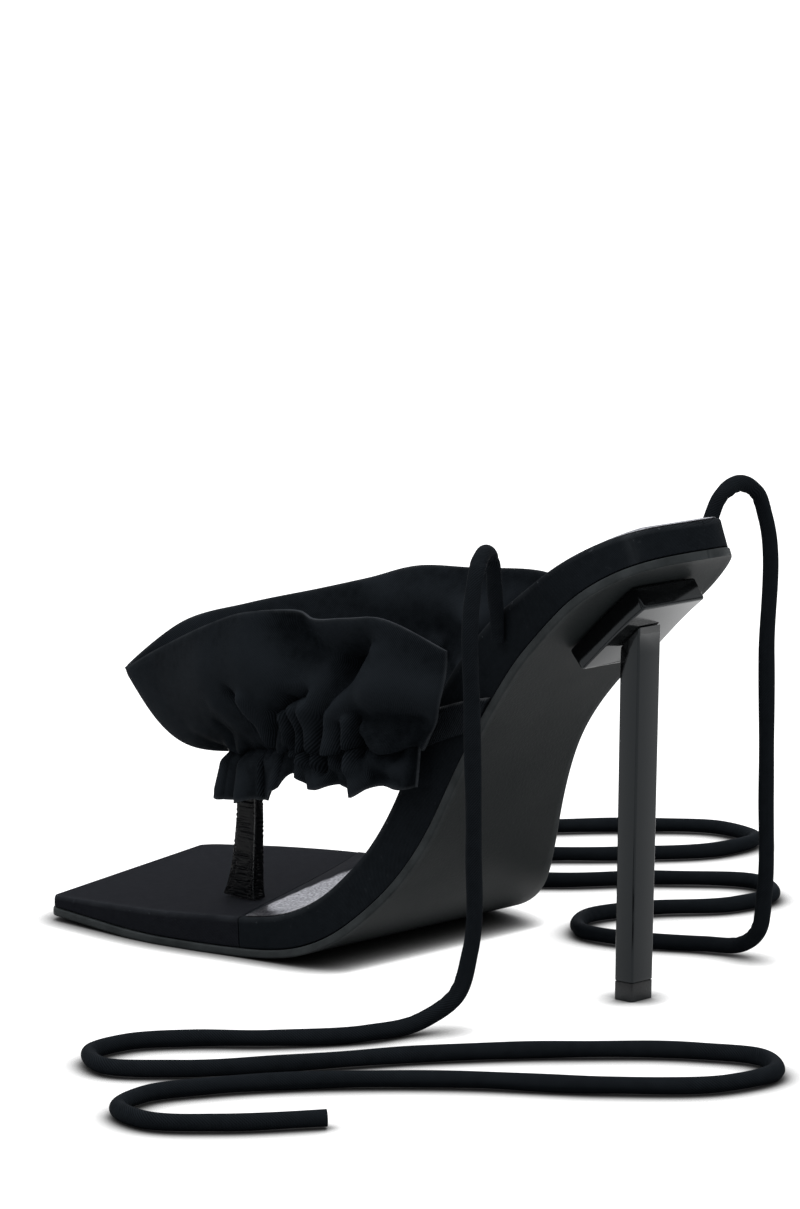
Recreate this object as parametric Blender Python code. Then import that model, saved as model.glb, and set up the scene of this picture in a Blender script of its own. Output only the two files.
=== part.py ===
import bpy
import bmesh
import numpy as np

for item in list(bpy.data.objects):
    bpy.data.objects.remove(item, do_unlink=True)

# A right stiletto sandal: square toe, thong, gathered frill upper, ribbon tabs and two ankle ties.
# X runs to the toe, Y to the wearer's left, which is the inner side, Z up.
# The origin is the middle of the heel tip's underside. All sizes are in millimetres.

MM = 0.001
GAP = 0.3

# Sole
HEEL_BACK = -23.4
HEEL_ROUND = 25.0
HEEL_START = 0.15
SOLE_RUN = 245.0
TOE_ROUND = 4.0
TREAD_BACK = 182.0
TREAD_FRONT = 194.0
OUTSOLE = 2.0
OUTSOLE_LEDGE = 0.5
OUTSOLE_FOOT = 0.5
SHARP_EDGE = 0.2
BAND_EDGE = 0.8
RUN_STEP = 0.1

# The sole's centre line and outline, read along the underside from the heel back.
# run, fall in degrees, inner half width, outer half width, band height, front skew
SOLE = np.array([
    (0, 12.5, 21.4, 21.0, 6.7, 0.0),
    (14, 33.4, 23.3, 23.1, 8.0, 0.0),
    (28, 41.5, 24.3, 24.2, 9.6, 0.0),
    (44, 42.4, 23.4, 23.6, 11.7, 0.0),
    (60, 46.9, 20.1, 21.2, 13.4, 0.0),
    (76, 54.3, 17.8, 21.0, 14.0, 0.0),
    (90, 60.3, 17.4, 23.4, 13.5, 0.0),
    (104, 60.2, 18.2, 27.3, 12.5, 0.0),
    (118, 53.6, 21.3, 32.8, 11.2, 0.0),
    (132, 41.5, 26.4, 39.4, 9.9, 0.0),
    (146, 21.8, 29.7, 44.4, 8.9, 0.0),
    (160, 6.5, 31.6, 47.2, 8.0, 0.0),
    (174, 1.2, 33.6, 48.4, 7.4, 0.0),
    (182, 0.0, 35.0, 49.0, 7.0, 0.0),
    (194, 0.0, 36.5, 49.6, 6.4, 0.8),
    (205, -1.2, 36.9, 49.4, 5.8, 2.3),
    (225, -2.0, 36.2, 45.2, 4.3, 5.5),
    (245, -1.8, 35.4, 35.7, 2.7, 9.2),
])

# The toe wrap meets the side band on a slanted line across the footbed.
SEAM_INNER = 168.5
SEAM_OUTER = 207.0
SEAM_TURN = 118.0

# Insole
SOCK = 0.8
SOCK_INSET = 1.5
SOCK_BACK = 3.0
SOCK_SHY = 0.8
SOCK_FOOT = 0.1
SOCK_EDGE = 0.3

# Heel
BLOCK_BACK = 16.5
BLOCK_FRONT = 41.0
BLOCK_DEEP = 6.0
BLOCK_HALF_BACK = 10.5
BLOCK_HALF_FRONT = 11.2
BLOCK_SHIFT = -0.8
BLOCK_BEVEL = 0.5
BLOCK_RINGS = 10
LIFT_HIGH = 4.5
TIP_LONG = 5.6
TIP_WIDE = 7.2
HEEL_TOP_LONG = 5.9
HEEL_TOP_WIDE = 7.6
HEEL_TOP_SET = -2.6
HEEL_TOP_AT = 88.0
HEEL_BEVEL = 0.5

# The thong post between the toes, leaning forward into the frill at its top.
# height, centre forward, centre across, long, wide
POST = np.array([
    (9.3, 118.6, 12.4, 12.4, 4.6),
    (11.6, 118.2, 12.4, 11.0, 4.4),
    (17.0, 117.4, 12.3, 9.4, 4.1),
    (24.0, 116.8, 12.2, 8.5, 3.8),
    (32.0, 116.4, 12.1, 7.9, 3.5),
    (39.0, 116.8, 12.0, 7.6, 3.5),
    (45.0, 118.8, 11.9, 8.0, 4.0),
    (50.5, 121.8, 11.8, 8.4, 4.6),
])
POST_SIDES = 16
POST_RINGS = 16
POST_SQUARE = 0.6

# The frill, from its inner rear end round the front peak to its outer rear end.
# gather line forward, across, up, then rim forward, across, up, then the lower frill's drop
FRILL = np.array([
    (47.5, 21.6, 57.4, 34.0, 26.5, 81.9, 9.0),
    (56.0, 23.0, 56.3, 49.0, 31.0, 88.2, 10.0),
    (66.5, 23.7, 55.0, 62.0, 32.0, 87.3, 10.0),
    (79.0, 22.8, 52.6, 75.0, 31.1, 85.6, 10.0),
    (90.5, 21.0, 51.2, 86.5, 30.0, 86.4, 9.0),
    (101.0, 18.9, 49.8, 101.5, 28.1, 84.0, 9.0),
    (112.0, 16.8, 48.0, 118.5, 25.0, 78.4, 11.0),
    (121.2, 15.2, 46.6, 142.0, 19.0, 69.6, 12.0),
    (124.6, 11.0, 46.6, 159.1, 14.0, 62.8, 11.0),
    (121.0, 5.8, 47.4, 150.6, 2.0, 73.8, 10.0),
    (111.5, -2.2, 49.6, 140.4, -11.0, 77.9, 9.0),
    (100.5, -11.5, 52.5, 127.6, -23.0, 81.4, 9.0),
    (90.0, -20.0, 55.0, 116.9, -31.0, 84.6, 9.0),
    (79.5, -26.6, 57.0, 104.7, -37.0, 88.2, 9.0),
    (68.0, -30.6, 58.5, 88.0, -40.0, 88.9, 9.0),
    (57.0, -31.0, 59.2, 65.0, -39.5, 90.2, 9.0),
    (48.0, -29.0, 59.0, 46.0, -37.0, 87.0, 9.0),
])
FRILL_WALL = 1.2
FRILL_STEPS = 80
FRILL_RISES = (-1.0, -0.66, -0.33, 0.0, 0.12, 0.25, 0.4, 0.55, 0.7, 0.85, 1.0)
FRILL_PUFF = 3.0
HEM_FLARE = 1.6
HEM_WAVE = 0.6
RIM_CALM = 0.35
GATHER_SPREAD = 2.5

# Soft folds of the frill, each a ridge or a trough along the strip.
# place along the strip from 0 to 16, half width in the same measure, height outward
FOLDS = np.array([
    (1.0, 0.45, 1.6),
    (1.9, 0.40, -1.8),
    (2.8, 0.50, 1.8),
    (3.6, 0.38, -2.2),
    (4.5, 0.50, 2.0),
    (5.4, 0.45, -1.4),
    (10.6, 0.60, 1.2),
    (11.6, 0.45, -1.4),
    (12.6, 0.50, 1.6),
    (13.6, 0.45, -1.6),
    (14.6, 0.50, 1.6),
    (15.4, 0.35, -1.2),
])

# The ribbon tabs rise from the sole's edge up to the frill's two rear ends.
TAB_WALL = 1.2
TAB_LOW_RUN = 74.7
TAB_HIGH_RUN = 62.8
TAB_AHEAD = 15.4
TAB_RISE = 13.4
TAB_FOOT = 2.5
TAB_REACH = 1.75
TAB_SPREAD = 6.5
TAB_RINGS = 10

TIE_THICK = 4.0
TIE_POINTS = 70
TIE_SIDES = 2
ROUTE_STEPS = 2000

# Route of the inner tie, from the band's inner face over and down, then loosely over the floor.
TIE_INNER = np.array([
    (20.2, 25.2, 85.6),
    (18.8, 26.3, 93.0),
    (17.6, 27.6, 99.2),
    (15.9, 30.2, 105.2),
    (12.5, 36.2, 107.9),
    (9.2, 42.2, 105.0),
    (8.0, 45.2, 98.0),
    (7.4, 46.0, 72.0),
    (7.0, 46.2, 42.0),
    (7.4, 47.2, 18.0),
    (8.8, 50.4, 8.2),
    (12.4, 57.6, 3.2),
    (16.0, 72.0, 2.2),
    (29.0, 90.0, 2.2),
    (42.0, 102.0, 2.2),
    (50.0, 114.0, 2.2),
    (49.0, 126.0, 2.2),
    (38.0, 132.0, 2.2),
    (24.0, 123.0, 2.2),
    (10.0, 104.0, 2.2),
    (-6.0, 78.0, 2.2),
    (-27.0, 53.0, 2.2),
    (-50.0, 34.0, 2.2),
    (-64.0, 29.0, 2.2),
    (-74.0, 36.0, 2.2),
    (-73.0, 51.0, 2.2),
    (-55.0, 70.0, 2.2),
    (-28.0, 88.0, 2.2),
    (-5.0, 110.0, 2.2),
    (8.0, 129.0, 2.2),
    (13.0, 142.0, 2.2),
    (9.0, 154.0, 2.2),
    (-3.0, 157.0, 2.2),
    (-16.0, 148.0, 2.2),
    (-30.0, 130.0, 2.2),
])

# Route of the outer tie, from the band's outer face near the heel, down and away behind it.
TIE_OUTER = np.array([
    (2.6, -26.7, 98.6),
    (1.2, -27.0, 105.0),
    (0.2, -27.9, 110.2),
    (-0.4, -30.6, 115.3),
    (-0.9, -36.7, 117.9),
    (-1.3, -42.9, 115.0),
    (-1.5, -45.6, 109.0),
    (-1.6, -46.0, 76.0),
    (-1.4, -46.2, 42.0),
    (-0.6, -46.6, 18.0),
    (2.6, -48.0, 7.6),
    (9.6, -49.6, 3.0),
    (19.0, -47.0, 2.2),
    (36.0, -39.0, 2.2),
    (51.0, -38.0, 2.2),
    (61.0, -51.0, 2.2),
    (56.0, -68.0, 2.2),
    (43.0, -86.0, 2.2),
    (43.0, -101.0, 2.2),
    (55.0, -110.0, 2.2),
    (77.0, -98.0, 2.2),
    (96.0, -77.0, 2.2),
    (113.0, -66.0, 2.2),
    (127.0, -74.0, 2.2),
    (125.0, -92.0, 2.2),
    (105.0, -114.0, 2.2),
    (90.0, -136.0, 2.2),
    (92.0, -152.0, 2.2),
    (108.0, -157.0, 2.2),
    (131.0, -142.0, 2.2),
    (153.0, -120.0, 2.2),
    (177.0, -109.0, 2.2),
])

BLACK = (0.012, 0.012, 0.014)
GREY = (0.045, 0.047, 0.05)
CREASE = np.radians(40)


def smooth(places, values, wanted):
    # a curve through a table's rows, each row's slope worked out from its neighbours
    places = np.asarray(places, float)
    values = np.asarray(values, float)
    wanted = np.clip(np.asarray(wanted, float), places[0], places[-1])
    flat = values.reshape(len(places), -1)
    step = np.diff(places)[:, None]
    slope = np.diff(flat, axis=0) / step
    between = (slope[:-1] * step[1:] + slope[1:] * step[:-1]) / (step[1:] + step[:-1])
    tangent = np.vstack([slope[:1], between, slope[-1:]])
    cell = np.clip(np.searchsorted(places, wanted.ravel(), side="right") - 1, 0, len(places) - 2)
    width = step[cell]
    part = (wanted.ravel()[:, None] - places[cell][:, None]) / width
    first = (1 + 2 * part) * (1 - part) ** 2 * flat[cell] + part * (1 - part) ** 2 * width * tangent[cell]
    second = part ** 2 * (3 - 2 * part) * flat[cell + 1] + part ** 2 * (part - 1) * width * tangent[cell + 1]
    return (first + second).reshape(wanted.shape + values.shape[1:])


# The underside's centre line, summed from the falls in small steps and set down on the floor.
RUNS = np.arange(0, SOLE_RUN + RUN_STEP / 2, RUN_STEP)
FALLS = np.radians(smooth(SOLE[:, 0], SOLE[:, 1], RUNS))
FALLS[(RUNS > TREAD_BACK - RUN_STEP) & (RUNS < TREAD_FRONT + RUN_STEP)] = 0.0
MID_FALLS = (FALLS[1:] + FALLS[:-1]) / 2
RUN_X = HEEL_BACK + np.concatenate([[0], np.cumsum(np.cos(MID_FALLS))]) * RUN_STEP
RUN_Z = -np.concatenate([[0], np.cumsum(np.sin(MID_FALLS))]) * RUN_STEP
RUN_Z = RUN_Z - np.interp(TREAD_BACK, RUNS, RUN_Z)


def half_width(run, column):
    wide = smooth(SOLE[:, 0], SOLE[:, column], run)
    back = np.clip(1 - run / HEEL_ROUND, 0, 1)
    front = np.clip((run - SOLE_RUN + TOE_ROUND) / TOE_ROUND, 0, 1)
    return wide * np.sqrt(1 - back ** 2) - TOE_ROUND * (1 - np.sqrt(1 - front ** 2))


def inner(run):
    return half_width(run, 2)


def outer(run):
    return half_width(run, 3)


def band_top(run):
    return OUTSOLE + smooth(SOLE[:, 0], SOLE[:, 4], run)


def place(run, across, lift):
    # a point by its run along the sole, its place across and its height off the underside
    fall = np.interp(run, RUNS, FALLS)
    skew = smooth(SOLE[:, 0], SOLE[:, 5], run)
    side = across / max(inner(run) if across > 0 else outer(run), 1.0)
    forward = np.interp(run, RUNS, RUN_X) + np.sin(fall) * lift - skew * side
    return forward, across, np.interp(run, RUNS, RUN_Z) + np.cos(fall) * lift


def coat(thing, colour, rough):
    material = bpy.data.materials.new(thing.name)
    material.use_nodes = True
    shader = material.node_tree.nodes["Principled BSDF"]
    shader.inputs["Base Color"].default_value = (*colour, 1.0)
    shader.inputs["Roughness"].default_value = rough
    thing.data.materials.append(material)


def solid(name, verts, faces, colour, rough):
    mesh = bpy.data.meshes.new(name)
    mesh.from_pydata((np.asarray(verts) * MM).tolist(), [], faces)
    work = bmesh.new()
    work.from_mesh(mesh)
    bmesh.ops.recalc_face_normals(work, faces=work.faces)
    work.to_mesh(mesh)
    work.free()
    mesh.shade_smooth()
    mesh.set_sharp_from_angle(angle=CREASE)
    thing = bpy.data.objects.new(name, mesh)
    bpy.context.scene.collection.objects.link(thing)
    coat(thing, colour, rough)
    return thing


def loft(name, rings, caps, colour, rough):
    rings = np.asarray(rings)
    count, sides = rings.shape[:2]
    index = np.arange(count * sides).reshape(count, sides)
    turned = np.roll(index, -1, axis=1)
    faces = np.stack([index[:-1], turned[:-1], turned[1:], index[1:]], -1).reshape(-1, 4).tolist()
    for row in (index[0], index[-1]):
        faces.extend(row[list(cap)].tolist() for cap in caps)
    return solid(name, rings.reshape(-1, 3), faces, colour, rough)


def whole(sides):
    return [range(sides)]


# A slab's section goes up the inner wall, over the top, down the outer wall and back below.
WALL_POINTS = 4
TOP_POINTS = 3
WALL_SHARE = 0.45


def slab_ring(run_at, low, high, inset, foot, head):
    wall = ((low, 0.0, foot), (low, foot, 0.0), (high, -head, 0.0), (high, 0.0, head))
    shares = np.linspace(0, 1, TOP_POINTS + 2)[1:-1]
    ring = []
    for part, rows, edge in ((0.0, wall, high), (1.0, wall[::-1], low)):
        run = run_at(part)
        for level, rise, back in rows:
            room = min(inset + back, WALL_SHARE * (inner(run) + outer(run)))
            across = inner(run) - room if part == 0.0 else room - outer(run)
            ring.append(place(run, across, level(run) + rise))
        for share in shares if part == 0.0 else shares[::-1]:
            middle = run_at(share)
            across = inner(middle) * (1 - share) - outer(middle) * share
            ring.append(place(middle, across, edge(middle)))
    return ring


def slab_caps():
    turn = WALL_POINTS + TOP_POINTS
    last = 2 * turn - 1
    caps = [[*range(WALL_POINTS + 1), last]]
    for step in range(TOP_POINTS - 1):
        first = WALL_POINTS + step
        caps.append([first, first + 1, last - step - 1, last - step])
    caps.append([turn - 1, *range(turn, turn + WALL_POINTS + 1)])
    return caps


# How many sections each stretch of the sole has, and how far the toe corner's arc is cut.
HEEL_SECTIONS = 11
LENGTH_SECTIONS = 42
TOE_SECTIONS = 8
WRAP_SECTIONS = 14
CORNER_SECTIONS = 5
CORNER_CUT = 0.94


def heel_runs(start, stop):
    turn = np.linspace(np.arccos(1 - start / HEEL_ROUND), np.pi / 2, HEEL_SECTIONS)
    back = HEEL_ROUND * (1 - np.cos(turn))
    return np.concatenate([back, np.linspace(HEEL_ROUND, stop, LENGTH_SECTIONS)[1:]])


def toe_runs(start, sections):
    turn = np.linspace(0, CORNER_CUT, CORNER_SECTIONS) * np.pi / 2
    front = SOLE_RUN - TOE_ROUND * (1 - np.sin(turn))
    return np.concatenate([np.linspace(start, front[0], sections)[:-1], front])


def underside(run):
    return 0.0


def outsole_top(run):
    return OUTSOLE


def bed_floor(run):
    return OUTSOLE + GAP


def sock_floor(run):
    return band_top(run) + GAP


def sock_top(run):
    return band_top(run) + GAP + SOCK


def make_outsole():
    rings = []
    for run in np.concatenate([heel_runs(HEEL_START, TREAD_BACK), toe_runs(TREAD_FRONT, TOE_SECTIONS)]):
        edges = (-OUTSOLE_LEDGE, OUTSOLE_FOOT, SHARP_EDGE)
        rings.append(slab_ring(lambda part: run, underside, outsole_top, *edges))
    loft("outsole", rings, slab_caps(), GREY, 0.6)


def seam_run(run, part):
    # the sections turn from straight across to the slant of the toe wrap's seam
    turn = np.clip((run - SEAM_TURN) / (SEAM_INNER - SEAM_TURN), 0, 1)
    return run + (SEAM_OUTER - SEAM_INNER) * turn ** 2 * (3 - 2 * turn) * part


def make_footbed():
    rings = []
    for run in heel_runs(HEEL_START, SEAM_INNER):
        edges = (0.0, SHARP_EDGE, BAND_EDGE)
        rings.append(slab_ring(lambda part: seam_run(run, part), bed_floor, band_top, *edges))
    loft("footbed", rings, slab_caps(), BLACK, 0.55)


def toe_run(run, part):
    slant = (SEAM_OUTER - SEAM_INNER) * part
    start = SEAM_INNER + GAP
    return run + slant * (SOLE_RUN - run) / (SOLE_RUN - start)


def make_toe_wrap():
    rings = []
    for run in toe_runs(SEAM_INNER + GAP, WRAP_SECTIONS):
        edges = (0.0, SHARP_EDGE, BAND_EDGE)
        rings.append(slab_ring(lambda part: toe_run(run, part), bed_floor, band_top, *edges))
    loft("toe_wrap", rings, slab_caps(), BLACK, 0.7)


def make_insole():
    rings = []
    for run in heel_runs(SOCK_BACK, SEAM_INNER - SOCK_SHY):
        edges = (SOCK_INSET, SOCK_FOOT, SOCK_EDGE)
        rings.append(slab_ring(lambda part: seam_run(run, part), sock_floor, sock_top, *edges))
    loft("insole", rings, slab_caps(), BLACK, 0.25)


def make_heel_block():
    rings = []
    body = np.linspace(BLOCK_BACK, BLOCK_FRONT, BLOCK_RINGS)
    for run in np.concatenate([[BLOCK_BACK - BLOCK_BEVEL], body, [BLOCK_FRONT + BLOCK_BEVEL]]):
        cut = 0.0 if BLOCK_BACK <= run <= BLOCK_FRONT else BLOCK_BEVEL
        part = (run - BLOCK_BACK) / (BLOCK_FRONT - BLOCK_BACK)
        half = BLOCK_HALF_BACK + (BLOCK_HALF_FRONT - BLOCK_HALF_BACK) * part - cut
        deep = BLOCK_DEEP - cut
        sides = [(half - BLOCK_BEVEL, deep), (half, deep - BLOCK_BEVEL), (half, GAP)]
        sides = sides + [(-across, drop) for across, drop in sides[::-1]]
        rings.append([place(run, across + BLOCK_SHIFT, -drop) for across, drop in sides])
    loft("heel_block", rings, whole(6), BLACK, 0.12)


def column_ring(height):
    part = height / HEEL_TOP_AT
    long = (TIP_LONG + (HEEL_TOP_LONG - TIP_LONG) * part) / 2
    wide = (TIP_WIDE + (HEEL_TOP_WIDE - TIP_WIDE) * part) / 2
    corner = [(long, wide - HEEL_BEVEL), (long - HEEL_BEVEL, wide)]
    half = corner + [(-x, y) for x, y in corner[::-1]]
    around = half + [(-x, -y) for x, y in half]
    return np.array([(x + HEEL_TOP_SET * part, y, height) for x, y in around])


def make_heel_column():
    # the column's head is cut to the slope of the block above it
    block_x = RUN_X - np.sin(FALLS) * (BLOCK_DEEP + GAP)
    block_z = RUN_Z - np.cos(FALLS) * (BLOCK_DEEP + GAP)
    head = column_ring(HEEL_TOP_AT)
    head[:, 2] = np.interp(head[:, 0], block_x, block_z)
    loft("heel_column", [column_ring(LIFT_HIGH + GAP), head], whole(len(head)), BLACK, 0.1)
    loft("top_lift", [column_ring(0.0), column_ring(LIFT_HIGH)], whole(len(head)), BLACK, 0.35)


def make_thong_post():
    turn = np.linspace(0, 2 * np.pi, POST_SIDES, endpoint=False)
    round_x = np.sign(np.cos(turn)) * np.abs(np.cos(turn)) ** POST_SQUARE / 2
    round_y = np.sign(np.sin(turn)) * np.abs(np.sin(turn)) ** POST_SQUARE / 2
    rings = []
    for height in np.linspace(POST[0, 0], POST[-1, 0], POST_RINGS):
        forward, across, long, wide = smooth(POST[:, 0], POST[:, 1:], height)
        rings.append(np.stack([forward + round_x * long, across + round_y * wide, 0 * turn + height], -1))
    return loft("thong_post", rings, whole(POST_SIDES), BLACK, 0.2)


def frill_surface(along, rise):
    # rise goes from -1 at the lower hem through 0 on the gather line to 1 at the rim
    rows = np.arange(len(FRILL))
    here = smooth(rows, FRILL, along)
    ahead = smooth(rows, FRILL[:, :2], along + 0.1) - smooth(rows, FRILL[:, :2], along - 0.1)
    ahead = ahead / np.linalg.norm(ahead, axis=-1, keepdims=True)
    out = np.stack([-ahead[..., 1], ahead[..., 0], 0 * along], -1)
    up = np.clip(rise, 0, 1)
    down = np.clip(-rise, 0, 1)
    wave = sum(high * np.exp(-((along - middle) / half) ** 2) for middle, half, high in FOLDS)
    ease = np.minimum(up * GATHER_SPREAD, 1.0) * (1 - RIM_CALM * up) + HEM_WAVE * down
    push = FRILL_PUFF * np.sin(np.pi * up ** 0.8) + wave * ease + HEM_FLARE * down
    fall = np.stack([0 * along, 0 * along, -here[..., 6] * down], -1)
    return here[..., 0:3] + (here[..., 3:6] - here[..., 0:3]) * up[..., None] + out * push[..., None] + fall


def grid_faces(index):
    corners = [index[:-1, :-1], index[1:, :-1], index[1:, 1:], index[:-1, 1:]]
    return np.stack(corners, -1).reshape(-1, 4).tolist()


def make_frill():
    steps = np.linspace(0, len(FRILL) - 1, FRILL_STEPS + 1)
    along, rise = np.meshgrid(steps, FRILL_RISES, indexing="ij")
    middle = frill_surface(along, rise)
    normal = np.cross(np.gradient(middle, axis=0), np.gradient(middle, axis=1))
    normal = normal / np.linalg.norm(normal, axis=-1, keepdims=True) * FRILL_WALL / 2
    front = np.arange(along.size).reshape(along.shape)
    back = front + along.size
    loop = np.concatenate([front[:-1, 0], front[-1, :-1], front[:0:-1, -1], front[0, :0:-1]])
    ahead = np.roll(loop, -1)
    rim = np.stack([ahead, loop, loop + along.size, ahead + along.size], -1).tolist()
    verts = np.concatenate([(middle + normal).reshape(-1, 3), (middle - normal).reshape(-1, 3)])
    return solid("upper", verts, grid_faces(front) + grid_faces(back) + rim, BLACK, 0.55)


def make_tab(name, side):
    rings = []
    for share in np.linspace(0, TAB_REACH, TAB_RINGS):
        ring = []
        for run, wall in ((TAB_HIGH_RUN, 1), (TAB_LOW_RUN, 1), (TAB_LOW_RUN, 0), (TAB_HIGH_RUN, 0)):
            here = run + TAB_AHEAD * share
            reach = GAP + TAB_WALL * wall + TAB_SPREAD * max(share - 1.0, 0.0)
            across = inner(here) + reach if side > 0 else -outer(here) - reach
            ring.append(place(here, across, TAB_FOOT + TAB_RISE * share))
        rings.append(ring)
    return loft(name, rings, whole(4), BLACK, 0.5)


def make_upper():
    # thong, frill and tabs are joined where they cross, into one piece
    frill = make_frill()
    for strap in (make_thong_post(), make_tab("tab_inner", 1), make_tab("tab_outer", -1)):
        strap.hide_render = True
        strap.display_type = "WIRE"
        join = frill.modifiers.new(strap.name, "BOOLEAN")
        join.operation = "UNION"
        join.object = strap


def make_tie(name, route):
    chord = np.concatenate([[0], np.cumsum(np.linalg.norm(np.diff(route, axis=0), axis=1))])
    dense = smooth(chord, route, np.linspace(0, chord[-1], ROUTE_STEPS))
    run = np.concatenate([[0], np.cumsum(np.linalg.norm(np.diff(dense, axis=0), axis=1))])
    even = np.linspace(0, run[-1], TIE_POINTS)
    points = np.stack([np.interp(even, run, dense[:, axis]) for axis in range(3)], -1)
    curve = bpy.data.curves.new(name, "CURVE")
    curve.dimensions = "3D"
    curve.bevel_depth = TIE_THICK / 2 * MM
    curve.bevel_resolution = TIE_SIDES
    curve.use_fill_caps = True
    spline = curve.splines.new("POLY")
    spline.points.add(TIE_POINTS - 1)
    for point, spot in zip(spline.points, points * MM):
        point.co = (*spot, 1.0)
    thing = bpy.data.objects.new(name, curve)
    bpy.context.scene.collection.objects.link(thing)
    coat(thing, BLACK, 0.6)
    print(name, "is", round(float(run[-1])), "mm long")


make_outsole()
make_footbed()
make_toe_wrap()
make_insole()
make_heel_block()
make_heel_column()
make_upper()
make_tie("tie_inner", TIE_INNER)
make_tie("tie_outer", TIE_OUTER)
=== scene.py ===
import math
import bpy
import numpy as np
from mathutils import Matrix, Vector


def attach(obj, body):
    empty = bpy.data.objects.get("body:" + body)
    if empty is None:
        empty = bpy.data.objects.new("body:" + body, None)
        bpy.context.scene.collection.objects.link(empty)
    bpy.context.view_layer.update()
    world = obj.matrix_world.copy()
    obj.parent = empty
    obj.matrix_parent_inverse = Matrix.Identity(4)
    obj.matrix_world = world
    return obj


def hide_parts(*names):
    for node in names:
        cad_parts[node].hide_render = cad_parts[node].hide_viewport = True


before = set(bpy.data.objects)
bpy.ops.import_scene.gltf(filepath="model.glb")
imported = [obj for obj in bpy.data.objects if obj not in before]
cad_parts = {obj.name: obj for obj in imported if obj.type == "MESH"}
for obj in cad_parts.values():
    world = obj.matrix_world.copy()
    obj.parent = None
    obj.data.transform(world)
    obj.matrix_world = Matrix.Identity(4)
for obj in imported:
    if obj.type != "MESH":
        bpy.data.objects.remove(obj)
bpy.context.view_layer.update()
print("frame loaded,", len(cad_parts), "nodes")

mm = 0.001  # tables and shapes below are in millimetres
gap = 0.3  # clear space between neighbouring pieces
crisp = math.radians(50)  # edges that turn more than this stay sharp
body = "root"


class Plan(dict):
    # a dictionary whose values can also be read as plan.name
    __getattr__ = dict.__getitem__


# Curves and meshes

def smoothCurve(places, values, wanted):
    # a curve through a table's rows: cubic pieces whose slope at a row is the mean of both sides
    wanted = np.clip(np.asarray(wanted, float), places[0], places[-1])
    flat = values.reshape(len(places), -1)
    step = np.diff(places)[:, None]
    slope = np.diff(flat, axis=0) / step
    between = (slope[:-1] * step[1:] + slope[1:] * step[:-1]) / (step[1:] + step[:-1])
    tangent = np.vstack([slope[:1], between, slope[-1:]])
    cell = np.clip(np.searchsorted(places, wanted.ravel(), side="right") - 1, 0, len(places) - 2)
    width = step[cell]
    part = (wanted.ravel()[:, None] - places[cell][:, None]) / width
    first = (1 + 2 * part) * (1 - part) ** 2 * flat[cell] + part * (1 - part) ** 2 * width * tangent[cell]
    second = part ** 2 * (3 - 2 * part) * flat[cell + 1] + part ** 2 * (part - 1) * width * tangent[cell + 1]
    return (first + second).reshape(wanted.shape + values.shape[1:])


def ramp(low, high, value):
    # 0 before low, 1 after high, an S between them
    part = np.clip((value - low) / (high - low), 0, 1)
    return part ** 2 * (3 - 2 * part)


def window(span, value):
    # up between the first two places of the span, down between the last two
    return ramp(*span[:2], value) * (1 - ramp(*span[2:], value))


def bell(value):
    # 1 at zero, falling off with the square of the distance
    return np.exp(-value ** 2)


def quarterArc(radius, steps):
    # insets and rises round a quarter circle, from its foot up
    turn = np.linspace(0, np.pi / 2, steps)
    return radius * (1 - np.sin(turn)), radius * (1 - np.cos(turn))


def fullTurn(sides):
    return np.linspace(0, 2 * np.pi, sides, endpoint=False)


def unit(vectors):
    return vectors / np.maximum(np.linalg.norm(vectors, axis=-1, keepdims=True), 1e-9)


def runningSum(steps):
    return np.concatenate([[0], np.cumsum(steps)])


def runAlong(points):
    # distance from the first point to each one, summed along the line
    return runningSum(np.linalg.norm(np.diff(points, axis=0), axis=1))


def sheetNormal(middle):
    return unit(np.cross(np.gradient(middle, axis=0), np.gradient(middle, axis=1)))


def gridQuads(index):
    corners = [index[:-1, :-1], index[1:, :-1], index[1:, 1:], index[:-1, 1:]]
    return np.stack(corners, -1).reshape(-1, 4)


def loftShell(rings, marks):
    # closed rings joined one to the next, and both ends closed on a middle point
    count, sides = rings.shape[:2]
    index = np.arange(count * sides).reshape(count, sides)
    around = np.concatenate([index, index[:, :1]], axis=1)
    firstFan = np.stack([around[0, 1:], around[0, :-1], np.full(sides, count * sides)], -1)
    lastFan = np.stack([np.full(sides, count * sides + 1), around[-1, :-1], around[-1, 1:]], -1)
    points = np.vstack([rings.reshape(-1, 3), rings[0].mean(0), rings[-1].mean(0)])
    shares = [np.concatenate([np.ravel(mark), [np.mean(mark[0]), np.mean(mark[-1])]]) for mark in marks]
    return points, gridQuads(around), np.vstack([firstFan, lastFan]), shares


def wallShell(middle, thick, marks):
    # a sheet's middle pushed half its thickness to both sides, with a strip round the rim
    push = sheetNormal(middle) * thick[..., None] / 2
    front = np.arange(thick.size).reshape(thick.shape)
    loop = np.concatenate([front[:-1, 0], front[-1, :-1], front[:0:-1, -1], front[0, :0:-1]])
    ahead = np.roll(loop, -1)
    rim = np.stack([ahead, loop, loop + front.size, ahead + front.size], -1)
    points = np.vstack([(middle + push).reshape(-1, 3), (middle - push).reshape(-1, 3)])
    quads = np.vstack([gridQuads(front), gridQuads(front + front.size)[:, ::-1], rim])
    return points, quads, np.zeros((0, 3), int), [np.tile(np.ravel(mark), 2) for mark in marks]


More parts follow.
